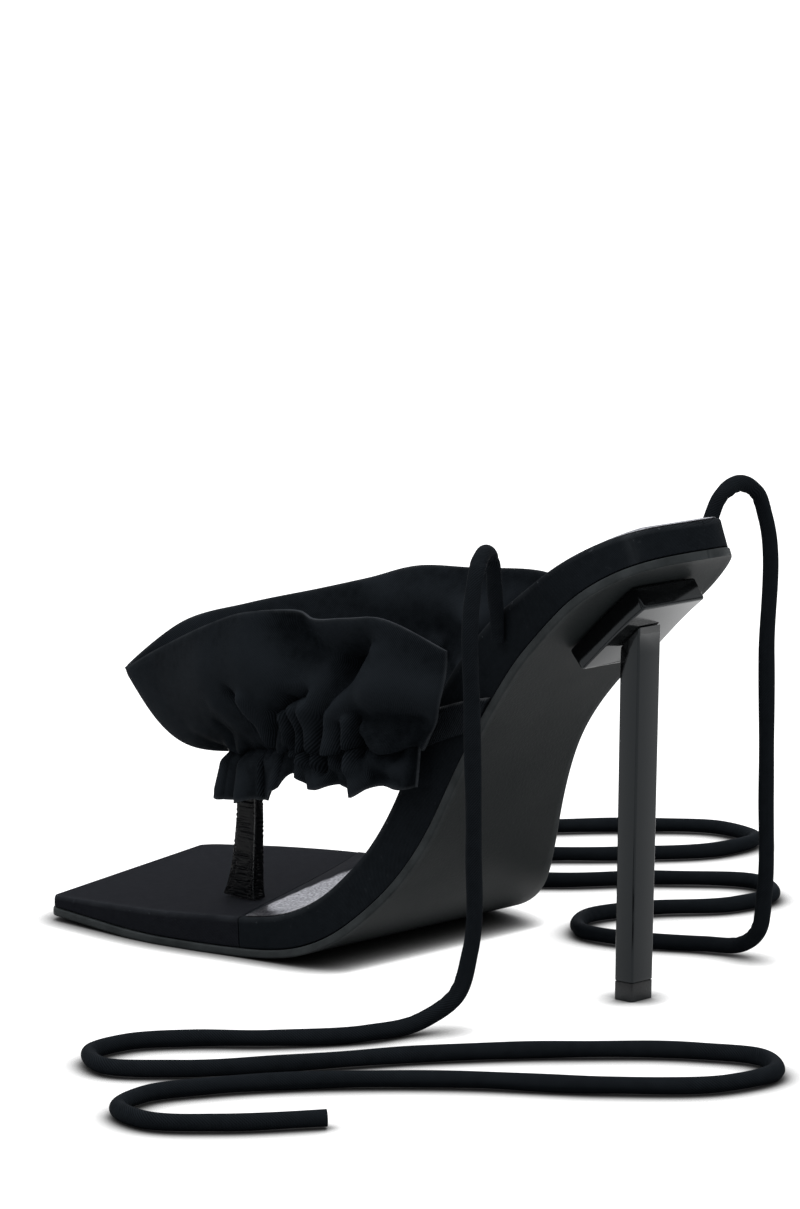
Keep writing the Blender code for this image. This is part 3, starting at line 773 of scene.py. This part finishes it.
# the lower frill: place along the strip, drop below the gather line
hemRows = np.array([
    (0, 9.8), (0.5, 10.4), (1, 9.6), (1.6, 10.2), (1.95, 12), (2.3, 9.8), (2.6, 8.8), (3, 9.6),
    (3.4, 9), (3.8, 6.8), (4.15, 6.6), (4.35, 9.4), (4.55, 12), (4.9, 12.8), (5.3, 12.4), (5.8, 13.2),
    (6.2, 12.8), (6.7, 12.2), (7.2, 11), (8, 10.6), (9, 10), (10, 9), (11, 9.6), (11.6, 8.4),
    (12.2, 9.6), (13, 9), (13.6, 10), (14.2, 8.6), (15, 9.6), (16, 9),
])

# overlaid pleats of the lower frill: start and end along the strip, height outward
pleatRows = np.array([
    (4.4, 5.05, 1.5), (5.05, 5.85, 3.2), (5.85, 6.6, 1.7),
    (6.6, 7.4, 3), (8.6, 9.4, 1.6), (10.1, 10.8, 1.2),
])

# soft folds: place and half width along the strip, height outward
frillFolds = np.array([
    (1, 0.45, 1.6), (1.9, 0.4, -1.8), (2.8, 0.5, 1.8), (3.6, 0.38, -2.2), (4.5, 0.5, 2), (5.4, 0.45, -1.4),
    (10.6, 0.6, 1.2), (11.6, 0.45, -1.4), (12.6, 0.5, 1.6), (13.6, 0.45, -1.6), (14.6, 0.5, 1.6),
    (15.4, 0.35, -1.2),
])

# folds listed one by one: start along and rise, end along and rise, half width, height outward, any lean
# sideways
frillCreases = [
    (5.8, 0.6, 4.4, 0.62, 11, 3.6), (3.75, 0.84, 2.15, 0.62, 7.2, -6.2),
    (2.15, 0.62, 1.5, 0.72, 5, -4.4), (2.35, 0.56, 2.8, 0.2, 3.6, -3.2),
    (1.2, 0.45, 0.4, 0.5, 8, 3.6), (2.3, 0.34, 1.3, 0.74, 2.6, 2.2, 0.3),
    (1.75, 0.24, 0.4, 0.3, 2.8, -2.6), (1.6, 0.14, 0.3, 0.07, 2.2, 1.7),
    (1.55, 0.01, 0.5, 0.01, 1.1, -1.6), (5.35, 0.44, 4.95, 0.18, 1.7, -2.6),
    (4.95, 0.18, 4.75, -0.1, 1.5, -2.2), (5.85, 0.36, 5.45, 0.06, 3, 1),
    (4.85, 0.36, 4.8, -0.1, 2.4, 2.6), (3.2, 0.42, 3.8, 0.35, 1.6, -3, 0.35),
    (3.8, 0.35, 4.22, 0.25, 1.5, -3.6, 0.35), (4.22, 0.25, 4.48, 0.06, 1.4, -3.6, 0.35),
    (3.85, 0.22, 3.7, 0.12, 4.6, -2.4), (3.98, 0.25, 3.94, -0.2, 1.3, 2.6),
    (3.62, 0.29, 3.5, -0.3, 1.5, 2.6), (3.8, 0.21, 3.74, -0.1, 0.9, -1.8),
    (3.4, 0.24, 3.34, -0.2, 1.1, -2.6), (3.14, 0.31, 3.06, -0.3, 1.5, 2.4),
    (2.86, 0.24, 2.92, -0.6, 1.3, -3), (2.54, 0.27, 2.62, -0.4, 1.9, 2.6),
    (2.24, 0.18, 2.3, -0.5, 1.1, -2.6), (1.98, 0.21, 2.02, -0.4, 1.5, 2.2),
    (1.74, 0.17, 1.8, -0.2, 1, -2), (6.2, 0.22, 5.95, -0.1, 1.8, -1.2),
    (6.9, 0.26, 6.5, 0.02, 2.6, 0.7), (3.5, -0.35, 3.3, -0.95, 2.2, 1.4),
    (2.75, -0.2, 2.6, -0.95, 1.8, -1.8), (2, -0.25, 1.95, -1, 2.2, 2),
    (1.5, -0.35, 0.4, -0.48, 2.6, 1.5), (1.45, -0.72, 0.6, -0.82, 1.4, -1),
]

# slow waves that shift the gathers: size, rate along the strip, start
driftWaves = ((1.3, 1.7, 0.0), (0.8, 3.1, 1.0))

# the gathers: waves for each row of the strip, share of the drift, start
gatherWaves = Plan(
    fine=(2.1, 1.0, 0.0), broad=(0.95, 0.7, 0.0), flute=(1.05, 0.9, 0.6),
    pinch=(0.62, 1.0, -math.pi / 2), lip=(0.85, 1.4, 0.0),
)


def gathers(name, along):
    # a cosine along the strip, shifted by the drift so that no two gathers are alike
    drift = sum(size * np.sin(rate * along + start) for size, rate, start in driftWaves)
    turns, share, start = gatherWaves[name]
    return np.cos(2 * np.pi * turns * along + share * drift + start)


def foldHeight(along, rise, plan):
    # each line lifts or sinks the cloth by its height, falling off with the square of the distance
    sideways, total = plan.alongSize, 0 * along

    def upward(level):
        return level * np.where(level > 0, plan.upSize, plan.downSize)

    for startAlong, startRise, endAlong, endRise, half, high, *lean in frillCreases:
        spanX, spanY = (endAlong - startAlong) * sideways, upward(endRise) - upward(startRise)
        x, y = (along - startAlong) * sideways, upward(rise) - upward(startRise)
        part = np.clip((x * spanX + y * spanY) / (spanX ** 2 + spanY ** 2), 0, 1)
        aside = (spanX * y - spanY * x) / np.hypot(spanX, spanY)
        reach = half * (1 + sum(lean) * np.tanh(2 * aside / half))
        total += high * np.exp(-((x - part * spanX) ** 2 + (y - part * spanY) ** 2) / reach ** 2)
    return total


def gatherHeight(along, rise, plan):
    # pleats and flutes below the gather line, ripples that die out above it, a pinch along it
    up, down = np.clip(rise, 0, 1), np.clip(-rise, 0, 1)
    soft = plan.pleatSoft
    pleat = sum(high * (ramp(start - soft, start + soft, along) - ramp(end - soft, end + soft, along))
                for start, end, high in pleatRows)
    push = pleat * ramp(0, plan.pleatFull, down) + plan.flute * gathers("flute", along) * down
    fine = plan.fine * gathers("fine", along) * np.exp(-up / plan.fineFade)
    fine *= (1 - ramp(0, plan.fineStop, down)) * ramp(0, plan.fineFull, np.abs(rise))
    broad = plan.broad * gathers("broad", along) * np.exp(-up / plan.broadFade)
    broad *= (1 - plan.broadBelow * down) * ramp(0, plan.broadFull, up)
    tight = ramp(*plan.pinchSpan, gathers("pinch", along))
    tight = plan.pinchLeast + (1 - plan.pinchLeast) * tight
    tight *= (1 - plan.loose * window(plan.looseSpan, along))
    line = plan.pinchSway * np.sin(plan.pinchRate * along)
    return push + fine + broad - plan.pinch * tight * bell((rise - line) / plan.pinchHalf)


def frillSurface(along, rise, plan):
    # gather line to rim in a straight run, pushed outward by a puff, folds, pleats and gathers
    rows, last = np.arange(len(frillRows)), len(frillRows) - 1
    here = smoothCurve(rows, frillRows, along)
    gather, rim = here[..., :3], here[..., 3:]
    before, after = (smoothCurve(rows, frillRows[:, :2], along + plan.beside * way) for way in (-1, 1))
    ahead = unit(after - before)
    out = np.stack([-ahead[..., 1], ahead[..., 0], 0 * along], -1)
    up, down = np.clip(rise, 0, 1), np.clip(-rise, 0, 1)
    swell = np.sin(np.pi * up ** plan.puffPower)
    wave = sum(high * bell((along - middle) / half) for middle, half, high in frillFolds)
    ease = np.minimum(up * plan.spread, 1.0) * (1 - plan.rimCalm * up) + plan.hemWave * down
    push = plan.puff * swell + plan.waveShare * wave * ease + plan.flare * down
    push += foldHeight(along, rise, plan)
    push += plan.outerShare * foldHeight(last - along, rise, plan)
    push += gatherHeight(along, rise, plan)
    # lips hang over the gather line, and a tuck draws the front in
    lip = bell((up - plan.lipAt) / plan.lipHalf) * ramp(0, plan.lipFull, up)
    lip *= (0.5 + 0.5 * gathers("lip", along)) * (1 - window(plan.lipGap, along))
    tuck = bell((along - plan.tuckAt) / plan.tuckHalf) * bell(up / plan.tuckUp)
    push += plan.lip * lip - plan.tuck * tuck * (1 - plan.tuckBelow * down)
    # the hem and the front sag downward, and the rear edges bulge backward
    drop = smoothCurve(*hemRows.T, along) * down + plan.lipDrop * lip
    drop += plan.sag * swell * bell((along - plan.sagAt) / plan.sagHalf)
    ends = bell((last - along) / plan.rearHalf) - bell(along / plan.rearHalf)
    slide = plan.rear * swell * ends
    move = np.stack([ahead[..., 0] * slide, ahead[..., 1] * slide, -drop], -1)
    return gather + (rim - gather) * up[..., None] + out * push[..., None] + move


def makeFrill(plan):
    # the surface as a sheet that thins toward its hems
    steps = np.linspace(0, len(frillRows) - 1, plan.along + 1)
    below = np.linspace(-1, 0, plan.down + 1)[:-1]
    rises = np.concatenate([below, np.linspace(0, 1, plan.up + 1)])
    along, rise = np.meshgrid(steps, rises, indexing="ij")
    middle = frillSurface(along, rise, plan)
    u = runAlong(middle[:, -1])[:, None] + 0 * rise
    heights = np.linalg.norm(np.diff(middle, axis=1), axis=2).mean(0)
    v = runningSum(heights) + 0 * along
    fromRim = np.minimum(np.minimum(v, v.max() - v), np.minimum(u, u.max() - u))
    thick = plan.hemWall + (plan.wall - plan.hemWall) * ramp(0, plan.hemRun, fromRim)
    edge = bell(fromRim / plan.edgeRun)
    # painted fold light: crests painted lighter and hollows darker, at a fine and a broad scale
    crest = sum(share * foldLightMark(middle, blurs, gain) for share, blurs, gain in plan.crests)
    points, quads, fans, shares = wallShell(middle, thick, [u, v, edge, crest])
    # the back has hollows where the front has crests, so its painted highlight and painted shade are swapped
    shares[3][crest.size:] *= -1
    print("frill cloth is", u.max().round(), "by", v.max().round(), "mm")
    return makePiece("frill", (points, quads, fans, shares), frillSatin, "frill_satin", "upper", "crest")


# Thong and ribbon tabs

# height, centre forward, centre across, long, wide
thongRows = np.array([
    (9.3, 118.6, 12.4, 12.4, 4.6), (11.6, 118.2, 12.4, 11, 4.4),
    (17, 117.4, 12.3, 9.4, 4.1), (24, 116.8, 12.2, 8.5, 3.8),
    (32, 116.4, 12.1, 7.9, 3.5), (39, 116.8, 12, 7.6, 3.5),
    (45, 118.8, 11.9, 8, 4), (50.5, 121.8, 11.8, 8.4, 4.6),
])

thongSet = Plan(
    sides=110, rings=230, square=0.36, trim=0.25, girth=4,
    wrinkle=0.08, pitch=1.3, wrinkleSpan=(13, 22, 40, 46), patchSpan=(-0.4, 0.9),
    crumple=0.1, crumpleLevel=1.05, smooth=0.85, smoothSpan=(13, 24),
    seam=0.3, seamAt=0.75 * math.pi, seamHalf=0.14, seamMark=0.1,
)

# waves over the strap's wall: size, rate over the height, waves round the strap, start
thongWaves = Plan(
    bend=((1.4, 0.0, 2, 0.4), (1.1, 0.9, 0, 0.0), (0.7, -0.6, 5, 0.0)),
    patch=((1.0, 0.83, 3, 0.0), (0.6, 1.57, -4, 1.0)),
    crumple=(
        (1, 1.9, 7, 0.2), (1, 3.1, -9, 1.1), (1, 4.2, 14, 2.9), (1, 5.0, -16, 0.7),
        (1, 6.1, 5, 4.1), (1, 3.6, 19, 5.3), (1, 6.8, -12, 1.9),
    ),
)


def squaredRound(wave, power):
    return np.sign(wave) * np.abs(wave) ** power


def makeThong(plan):
    # a squared round carried up the table, its wall rippled by wrinkles high up and crumpled at the foot
    turn = fullTurn(plan.sides)
    height = np.linspace(thongRows[0, 0], thongRows[-1, 0], plan.rings)
    forward, across, long, wide = smoothCurve(thongRows[:, 0], thongRows[:, 1:], height).T[:, :, None]
    z = height[:, None] + 0 * turn

    def waves(name):
        return sum(size * np.sin(rate * z + count * turn + start)
                   for size, rate, count, start in thongWaves[name])

    ripple = np.sin(2 * np.pi * z / plan.pitch + waves("bend"))
    ripple *= ramp(*plan.patchSpan, waves("patch")) * window(plan.wrinkleSpan, z)
    crease = plan.crumple * (plan.crumpleLevel - np.abs(waves("crumple")))
    crease *= (1 - plan.smooth * ramp(*plan.smoothSpan, z))
    fromSeam = turn - plan.seamAt
    push = plan.wrinkle * ripple + crease + plan.seam * bell(fromSeam / plan.seamHalf)
    x = forward + squaredRound(np.cos(turn), plan.square) * (long / 2 + push - plan.trim)
    y = across + squaredRound(np.sin(turn), plan.square) * (wide / 2 + push - plan.trim)
    marks = [plan.girth * turn + 0 * z, z, bell(fromSeam / plan.seamMark) + 0 * z]
    shell = loftShell(np.stack([x, y, z], -1), marks)
    makePiece("thongStrap", shell, thongLeather, "sock_leather", "upper")


tabSet = Plan(
    wall=1.2, trim=0.2, lowRun=72.9, highRun=61, ahead=17.2, rise=13.4, foot=2.5,
    reach=1.75, spread=6.5, steps=150, wide=24, rib=0.9, ribDeep=0.12,
    bind=0.35, bindAt=0.6, bindHalf=0.5, edgeRun=0.6,
)


def makeTab(name, side, plan):
    # a ribbon from the sole's edge up along the band to the frill, ribbed across, its rear edge bound
    steps, places = np.linspace(0, plan.reach, plan.steps), np.linspace(0, 1, plan.wide)
    share, wide = np.meshgrid(steps, places, indexing="ij")
    run = plan.highRun + (plan.lowRun - plan.highRun) * wide + plan.ahead * share
    lift = plan.foot + plan.rise * share
    half = np.where(side > 0, *halfWidths(run))
    away = gap + plan.wall / 2 + plan.spread * np.maximum(share - 1.0, 0.0)
    middle = solePlace(run, side * (half + away), lift)
    u = runAlong(middle[:, 0])[:, None] + 0 * wide
    v = wide * np.linalg.norm(middle[0, -1] - middle[0, 0])
    thick = plan.wall - plan.trim + plan.ribDeep * np.sin(2 * np.pi * u / plan.rib)
    thick += plan.bind * bell((v - plan.bindAt) / plan.bindHalf)
    shell = wallShell(middle, thick, [u, v, bell(v / plan.edgeRun)])
    makePiece(name, shell, ribbonWeave, "band_satin", "upper")


frill = makeFrill(frillSet)
makeThong(thongSet)
makeTab("tabInner", 1, tabSet)
makeTab("tabOuter", -1, tabSet)
print("upper done")


# Ankle ties

tieSet = Plan(
    thick=4, trim=0.1, step=0.45, dense=4000, sides=24, rest=2.2, steepSpan=(0.3, 0.8),
    seam=0.22, seamAt=1.2 * math.pi, seamHalf=0.22, flat=0.55, flatRun=14, snug=0.3,
    pucker=0.07, puckerPitch=3.1, puckerSway=2, puckerSpan=(0.015, 0.08),
    slack=0.1, slackPitch=6.1, slackFade=17, core=0.62, coreStep=0.06, corePale=2,
)


def floorRoute(falling, lying):
    # the way down in three coordinates, then the way over the floor in two
    return np.array(falling + [(x, y, tieSet.rest) for x, y in lying])


# the inner tie, from the band's inner face over and down, then loosely over the floor
innerRoute = floorRoute([
    (20.2, 25.2, 85.6), (18.8, 26.3, 93), (17.6, 27.6, 99.2), (15.9, 30.2, 105.2), (12.5, 36.2, 107.9),
    (9.2, 42.2, 105), (8, 45.2, 98), (7.4, 46, 72), (7, 46.2, 42), (7.4, 47.2, 18),
    (8.8, 50.4, 8.2), (12.4, 57.6, 3.2),
], [
    (16, 72), (29, 90), (42, 102), (50, 114), (49, 126), (38, 132), (24, 123),
    (10, 104), (-6, 78), (-27, 53), (-50, 34), (-64, 29), (-74, 36), (-73, 51),
    (-55, 70), (-28, 88), (-5, 110), (8, 129), (13, 142), (9, 154), (-3, 157),
    (-16, 148), (-30, 130),
])

# the outer tie, from the band's outer face near the heel, down and away behind it
outerRoute = floorRoute([
    (2.6, -26.7, 98.6), (1.2, -27, 105), (0.2, -27.9, 110.2), (-0.4, -30.6, 115.3), (-0.9, -36.7, 117.9),
    (-1.3, -42.9, 115), (-1.5, -45.6, 109), (-1.6, -46, 76), (-1.4, -46.2, 42), (-0.6, -46.6, 18),
    (2.6, -48, 7.6), (9.6, -49.6, 3),
], [
    (19, -47), (36, -39), (51, -38), (61, -51), (56, -68), (43, -86), (43, -101),
    (55, -110), (77, -98), (96, -77), (113, -66), (127, -74), (125, -92),
    (105, -114), (90, -136), (92, -152), (108, -157), (131, -142), (153, -120),
    (177, -109),
])


def evenPath(route, plan):
    # a smooth curve through the route, cut into even steps
    chord = runAlong(route)
    dense = smoothCurve(chord, route, np.linspace(0, chord[-1], plan.dense))
    run = runAlong(dense)
    even = np.linspace(0, run[-1], int(run[-1] / plan.step))
    return even, np.stack([np.interp(even, run, dense[:, axis]) for axis in range(3)], -1)


def makeTie(name, node, route, side, plan):
    # a round carried along the route, pressed flat where it lies on the band, with a seam along one side
    run, path = evenPath(route, plan)
    ahead = unit(np.gradient(path, axis=0))
    steep = ramp(*plan.steepSpan, np.abs(ahead[:, 2]))[:, None]
    guide = unit(np.hstack([steep, 0 * steep, 1 - steep]))
    across = unit(np.cross(ahead, guide))
    upward = np.cross(across, ahead)
    onBand = 1 - ramp(0, plan.flatRun, run)
    press = (1 - plan.flat) * onBand
    inward = plan.thick / 2 * press + plan.snug * onBand
    path[:, 1] -= side * inward
    turn = fullTurn(plan.sides)
    spin, length = np.broadcast_arrays(turn, run[:, None])

    def aside(acrossWay, upWay):
        return across[:, None] * acrossWay[..., None] + upward[:, None] * upWay[..., None]

    # puckers on the inside of bends, a slow unevenness and the seam change the radius
    bend = np.gradient(ahead, run, axis=0)
    inBend = ramp(*plan.puckerSpan, (aside(np.cos(spin), np.sin(spin)) * bend[:, None]).sum(-1))
    phase = 2 * np.pi * length / plan.puckerPitch + plan.puckerSway * np.sin(spin)
    slack = np.sin(length / plan.slackPitch + 2 * spin) * np.sin(length / plan.slackFade)
    seam = bell((turn - plan.seamAt) / plan.seamHalf)
    radius = plan.thick / 2 - plan.trim - plan.seam * seam
    radius = radius + plan.pucker * inBend * np.sin(phase) + plan.slack * slack
    outward = np.abs(across[:, 1:2])
    acrossWay = np.cos(spin) * radius * (1 - press[:, None] * outward)
    upWay = np.sin(spin) * radius * (1 - press[:, None] * (1 - outward))
    rings = path[:, None] + aside(acrossWay, upWay)
    # the cut end: a rim of cloth round a paler core
    cut = [path[-1] + (rings[-1] - path[-1]) * (plan.core - step) for step in (0.0, plan.coreStep)]
    rings = np.concatenate([rings, cut])
    u = np.concatenate([run, run[-1:], run[-1:]])[:, None] + 0 * turn
    v = plan.thick / 2 * turn + 0 * u
    core = np.zeros(u.shape)
    core[-1] = plan.corePale
    piece = makePiece(name, loftShell(rings, [v, u, core]), cordTwill, "tie_cord", node)
    print(name, "is", run[-1].round(), "mm long")


makeTie("tieInner", "tie_inner", innerRoute, 1, tieSet)
makeTie("tieOuter", "tie_outer", outerRoute, -1, tieSet)
print("ties done")


# Stage

# near, samples and deepen are the reach, samples and sharpness of the floor's painted contact shadow, and
# shade is its painted tone
stageSet = Plan(
    floor=40, rough=0.9, specular=0.1, white=0.35, shade=0.03, glow=0.95,
    near=0.008, samples=12, deepen=3.5, horizon=0.05, overhead=2,
    lampPlace=(1.2, -1.2, 0.55), lampAim=(0.05, 0.0, 0.05), lampSize=1.2, power=5.4, tint=(0.87, 0.89, 1.0),
)


def makeSky(plan):
    # dim at the horizon and bright overhead: the strength grows with the height of the line of sight
    world = bpy.data.worlds.new("studio")
    world.use_nodes = True
    tree = world.node_tree
    sky = tree.nodes["Background"].inputs
    sight = addNode(tree, "ShaderNodeTexCoord").outputs["Generated"]
    height = addNode(tree, "ShaderNodeSeparateXYZ", in0=sight).outputs[2]
    span = {"To_Min": plan.horizon, "To_Max": plan.overhead}
    glow = addNode(tree, "ShaderNodeMapRange", Value=height, **span).outputs[0]
    seen = addNode(tree, "ShaderNodeLightPath").outputs["Is Camera Ray"]
    sky["Color"].default_value = (1.0, 1.0, 1.0, 1.0)
    link(mathNode("MAXIMUM", glow, seen), sky["Strength"])
    bpy.context.scene.world = world


def makeFloor(plan):
    # paper overlit where it is looked at, that throws less light back on the shoe; close to the shoe a
    # painted contact shadow darkens its colour and dims its glow
    half = plan.floor / 2
    mesh = bpy.data.meshes.new("floor")
    corners = [(-half, -half, 0), (half, -half, 0), (half, half, 0), (-half, half, 0)]
    mesh.from_pydata(corners, [], [(0, 1, 2, 3)])
    floor = addObject("floor", mesh)
    finish, tree, sockets = newFinish("floor paper painted shadow", plan.rough, plan.specular)
    # painted contact shadow: close to the shoe, ambient occlusion mixes the paper toward the dark shade tone
    # and dims its glow
    contactShadowProbe = addNode(tree, "ShaderNodeAmbientOcclusion", {"samples": plan.samples}, Distance=plan.near)
    clear = mathNode("POWER", contactShadowProbe.outputs["AO"], plan.deepen)
    paper = mixColour(clear, [plan.shade] * 3, [plan.white] * 3)
    link(paper, sockets["Base Color"])
    rays = addNode(tree, "ShaderNodeLightPath").outputs
    seen = mathNode("MAXIMUM", rays["Is Camera Ray"], rays["Is Glossy Ray"])
    sockets["Emission Color"].default_value = (1.0, 1.0, 1.0, 1.0)
    link(times(times(seen, clear), plan.glow), sockets["Emission Strength"])
    mesh.materials.append(finish)


def makeLamp(plan):
    # one broad lamp behind the shoe
    light = bpy.data.lights.new("lamp.back", "AREA")
    light.size = plan.lampSize
    light.energy = plan.power
    light.color = plan.tint
    lamp = addObject("lamp.back", light)
    lamp.location = plan.lampPlace
    lamp.rotation_euler = (Vector(plan.lampAim) - Vector(plan.lampPlace)).to_track_quat("-Z", "Y").to_euler()


makeSky(stageSet)
makeFloor(stageSet)
makeLamp(stageSet)
bpy.context.scene.view_settings.view_transform = "Standard"
print("stage done")
